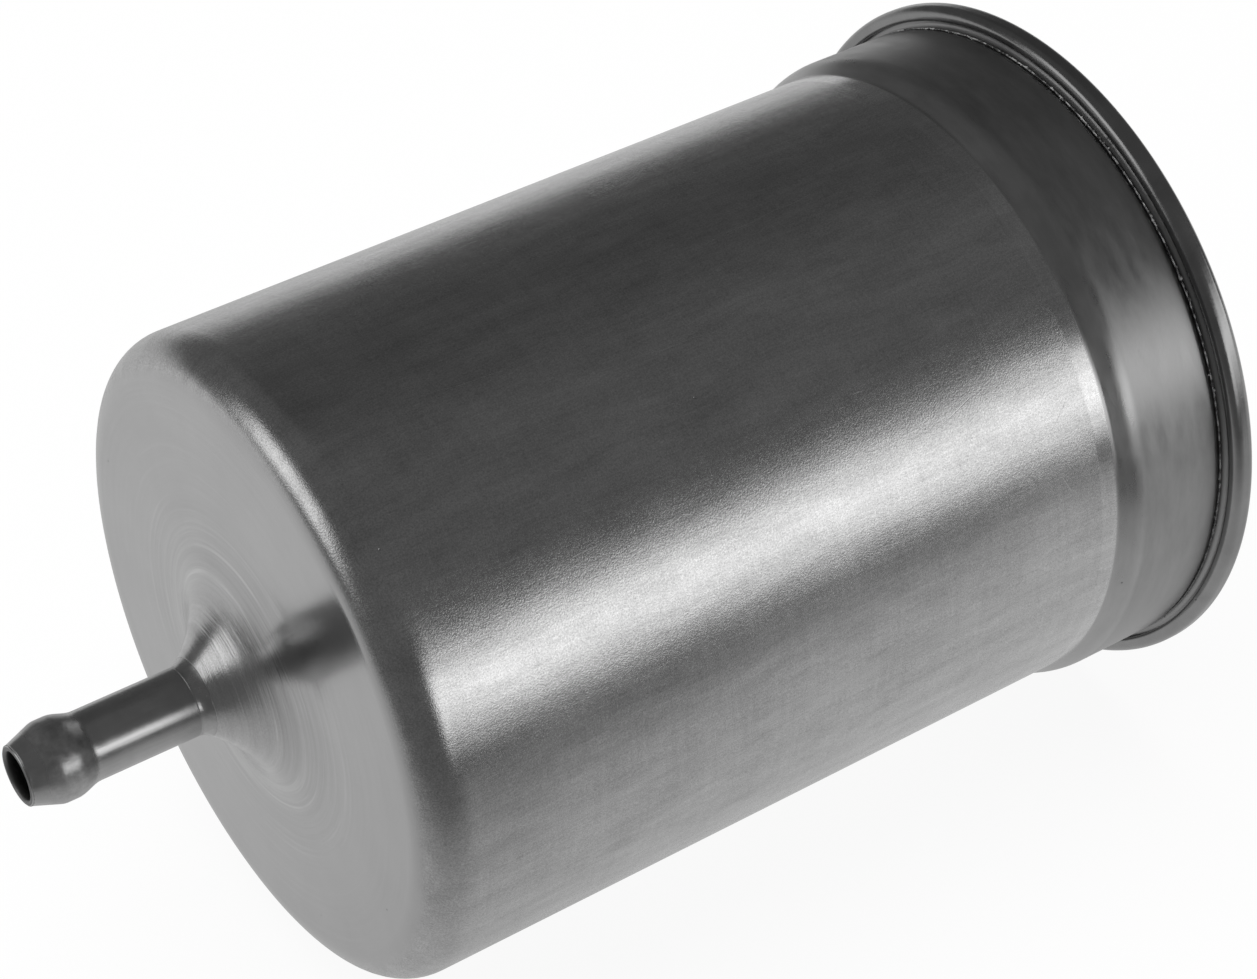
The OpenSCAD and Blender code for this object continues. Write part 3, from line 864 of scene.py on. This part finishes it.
def make_spring():
    cup = sheet([
        (cup_x, cup_hole, 0, 180),
        (cup_x - cup_bend, cup_rim - cup_bend, -cup_bend, 0, 90),
        (cup_x - cup_depth, cup_rim, 0, -90),
    ], plate_t)
    turned("cover_cup", cup, "spring_cup", "housing", "plated_steel", plated)

    values = {"Steps": 48, "Sides": 20, "Turns": float(coil_turns), "Start": coil_x0,
              "Length": coil_x1 - coil_x0, "End Pitch": end_pitch, "Coil Radius": coil_r,
              "Wire Radius": wire_r, "Material": spring_wire}
    mesh = baked("coil_spring", make_coiling_tree(), values)
    spring = stand_in("coil_spring", outward(mesh), "housing", "spring_steel",
                      "compression_spring")
    joint = next(j for j in frame["joints"] if j["name"] == "element_lift")
    free = cup_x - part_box("compression_spring")[0].x
    1 - joint["range_m"][1] / free
    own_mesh(spring)


# ---------------------------------------------------------------- the element
def make_element():
    closed_cap = sheet([
        (closed_cap_x - dish_depth, 0.0, 0, 0),
        (closed_cap_x - dish_depth + cap_bend, dish_r - cap_bend, -cap_bend, 180, 90),
        (closed_cap_x - cap_bend, dish_r + cap_bend, cap_bend, -90, 0),
        (closed_cap_x - cap_bend, cap_r - cap_bend, cap_bend, 0, 90),
        (closed_cap_x - cap_lip, cap_r, 0, 90),
    ], cap_t)
    turned("closed_cap", closed_cap, "closed_end_cap", "element", "tinplate", tinned)

    open_cap = sheet([
        (neck_end, neck_bore, 0, -90),
        (open_cap_x + cap_bend, neck_bore + cap_bend, cap_bend, -90, -180),
        (open_cap_x + cap_bend, cap_r - cap_bend, cap_bend, 180, 90),
        (open_cap_x + cap_lip, cap_r, 0, 90),
    ], cap_t)
    turned("open_cap", open_cap, "open_end_cap", "element", "tinplate", tinned)

    for node in ("closed_end_potting", "open_end_potting"):
        low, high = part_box(node)
        ring = block(low.x, high.x, potting_in, high.z, 0.4 * MM)
        turned(node.replace("_end", ""), ring, node, "element", "potting", potting_glue)

    low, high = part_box("strainer_sleeve")
    sleeve = block(low.x, high.x, sleeve_in, high.z, 0.1 * MM)
    turned("strainer", sleeve, "strainer_sleeve", "element", "gauze", gauze)

    low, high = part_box("outlet_grommet")
    seat = outlet_fillet + can_t + fit_gap
    turns = [-math.degrees(math.asin((outlet_fillet_r - r) / seat)) for r in (seal_front, high.z)]
    front = arc((bottom_x - outlet_fillet, outlet_fillet_r), seat, *turns)
    shank = neck_bore - fit_gap
    bend = (open_cap_x + cap_bend, neck_bore + cap_bend)
    collar = arc(bend, cap_bend + fit_gap, 180, 270)
    grommet = [
        (bottom_x - 0.2 * MM, boss_r), *front, (open_cap_x - fit_gap, high.z), *collar,
        (neck_end + fit_gap, shank), (neck_end + fit_gap, shank + 1 * MM),
        (high.x, shank + 0.4 * MM), (high.x, boss_r),
    ]
    turned("pipe_grommet", rounded(grommet, 0.12 * MM), "outlet_grommet", "element",
           "seal_rubber", seal_rubber)

    values = {"Pleats": pleats, "Steps": 24, "Rows": 12, "Start": media_x0,
              "Length": media_x1 - media_x0, "Outer Radius": pleat_out - paper_t / 2,
              "Inner Radius": pleat_in - paper_t / 2, "Sharpness": 5.0, "Material": paper}
    mesh = outward(baked("pleats", make_pleating_tree(), values))
    folds = stand_in("paper_pleats", mesh, "element", "filter_paper", "pleated_media")
    wall = folds.modifiers.new("thickness", "SOLIDIFY")
    wall.thickness = paper_t * 0.7
    wall.offset = 0.0


def dress(node, material):
    """Gives a CAD node its material."""
    mesh = frame["nodes"][node].data
    mesh.materials.clear()
    mesh.materials.append(material)


make_housing()
make_spring()
make_element()
dress("core_tube", tinned)
dress("media_seam_clip", tinned)
dress("spring_plate", plated)
dress("pleat_bands", bead_glue)


# ---------------------------------------------------------------- the studio
def emitter(name, centre, size, core, halo):
    """A soft box: a panel that glows most along its middle line."""
    mesh = bpy.data.meshes.new(name)
    w, h = size[0] / 2, size[1] / 2
    mesh.from_pydata([(-w, -h, 0), (w, -h, 0), (w, h, 0), (-w, h, 0)], [], [(0, 1, 2, 3)])
    panel = bpy.data.objects.new(name, mesh)
    bpy.context.scene.collection.objects.link(panel)
    panel.location = centre
    panel.rotation_euler = (-Vector(centre)).to_track_quat("Z", "Y").to_euler()
    panel.visible_camera = False
    glow = bpy.data.materials.new(name)
    glow.use_nodes = True
    glow.node_tree.nodes.clear()
    plan = Plan(glow.node_tree)
    u, v, _ = plan.add("ShaderNodeTexCoord", {}, {}, "Object").parts()
    middle = 1 - (v / h).run("ABSOLUTE").ramp(0.10, 0.55)
    edge = 1 - (v / h).run("ABSOLUTE").ramp(0.75, 1.0)
    sides = 1 - (u / w).run("ABSOLUTE").ramp(0.85, 1.0)
    share = (middle * (core - halo) + edge * halo) * sides / core
    tone = plan.mix(share, grey(0.0), grey(1.0))
    shine = plan.add("ShaderNodeEmission", {}, {"Color": tone, "Strength": core})
    output = plan.tree.nodes.new("ShaderNodeOutputMaterial")
    plan.tree.links.new(shine.socket, output.inputs["Surface"])
    mesh.materials.append(glow)


def make_floor():
    """A plain pale floor. What mirrors in the metal is a table that glows with painted light, as though lit from
    the left, and ends in front; what the camera sees is the same pale tone all over."""
    mesh = bpy.data.meshes.new("floor")
    reach = 6.0
    z = -seam_r - 0.2 * MM
    corners = [(-reach, -reach, z), (reach, -reach, z), (reach, reach, z), (-reach, reach, z)]
    mesh.from_pydata(corners, [], [(0, 1, 2, 3)])
    floor = bpy.data.objects.new("floor", mesh)
    bpy.context.scene.collection.objects.link(floor)
    pale = bpy.data.materials.new("pale_floor")
    pale.use_nodes = True
    pale.node_tree.nodes.clear()
    plan = Plan(pale.node_tree)
    camera_ray = plan.add("ShaderNodeLightPath", {}, {}, "Is Camera Ray")
    x, y, _ = plan.add("ShaderNodeTexCoord", {}, {}, "Object").parts()
    # painted light: the glow that the metal mirrors is dark in front, bright just behind, dimmer further back, and
    # brighter towards +X
    back = x * 0.568 + y * 0.823
    tone = 0.12 + 0.46 * back.ramp(-0.19, 0.01) - 0.12 * back.ramp(0.12, 0.40)
    tone = tone + 0.14 * x.ramp(0.0, 0.12) * back.ramp(0.0, 0.10)
    tone = plan.mix(tone, grey(0.0), grey(1.0))
    table = plan.add("ShaderNodeEmission", {}, {"Color": tone, "Strength": 1.0})
    matt = plan.add("ShaderNodeBsdfDiffuse", {}, {"Color": grey(0.80)})
    plain = plan.add("ShaderNodeEmission", {}, {"Color": grey(1.0), "Strength": 1.0})
    seen = plan.add("ShaderNodeMixShader", {}, {0: 0.93, 1: matt, 2: plain})
    share = plan.add("ShaderNodeMixShader", {}, {0: camera_ray, 1: table, 2: seen})
    output = plan.tree.nodes.new("ShaderNodeOutputMaterial")
    plan.tree.links.new(share.socket, output.inputs["Surface"])
    mesh.materials.append(pale)


def make_world():
    """A dim room, darkest up behind, that the camera sees as a pale backdrop."""
    world = bpy.data.worlds.new("studio")
    bpy.context.scene.world = world
    world.use_nodes = True
    world.node_tree.nodes.clear()
    plan = Plan(world.node_tree)
    x, y, z = plan.add("ShaderNodeTexCoord", {}, {}, "Generated").parts()
    room = 0.112 - 0.038 * (x * 0.45 + y * 0.60 + z * 0.66).ramp(0.80, 1.0)
    camera_ray = plan.add("ShaderNodeLightPath", {}, {}, "Is Camera Ray")
    tone = plan.mix(room * (1 - camera_ray) + camera_ray, grey(0.0), grey(1.0))
    shine = plan.add("ShaderNodeBackground", {}, {"Color": tone, "Strength": 1.0})
    output = plan.tree.nodes.new("ShaderNodeOutputWorld")
    plan.tree.links.new(shine.socket, output.inputs["Surface"])


def make_lights():
    emitter("front_softbox", (0.42, -0.78, 0.215), (1.3, 0.50), 1.6, 1.0)
    emitter("left_softbox", (-0.774, 0.313, 0.337), (0.62, 0.55), 1.1, 1.0)
    # Lights the table only: metal doesn't mirror it
    lamp = bpy.data.lights.new("table_light", "AREA")
    lamp.shape = "DISK"
    lamp.size = 1.6
    lamp.energy = 26.0
    overhead = bpy.data.objects.new("table_light", lamp)
    overhead.location = (-0.2, 0.2, 1.3)
    overhead.visible_glossy = False
    bpy.context.scene.collection.objects.link(overhead)


def make_camera():
    azimuth, elevation = math.radians(-34.70), math.radians(39.90)
    back = Vector((
        math.sin(azimuth) * math.cos(elevation),
        -math.cos(azimuth) * math.cos(elevation),
        math.sin(elevation),
    ))
    facing = (-back).to_track_quat("-Z", "Y")
    right, up = facing @ Vector((1, 0, 0)), facing @ Vector((0, 1, 0))
    aim = right * 1.89 * MM + up * 2.46 * MM
    data = bpy.data.cameras.new("camera")
    data.sensor_width = 36.0
    data.lens = 100.54
    camera = bpy.data.objects.new("camera", data)
    camera.location = aim + back * 0.40123
    camera.rotation_mode = "QUATERNION"
    camera.rotation_quaternion = facing
    bpy.context.scene.collection.objects.link(camera)
    bpy.context.scene.camera = camera


make_camera()
make_floor()
make_world()
make_lights()
bpy.context.scene.view_settings.view_transform = "Standard"
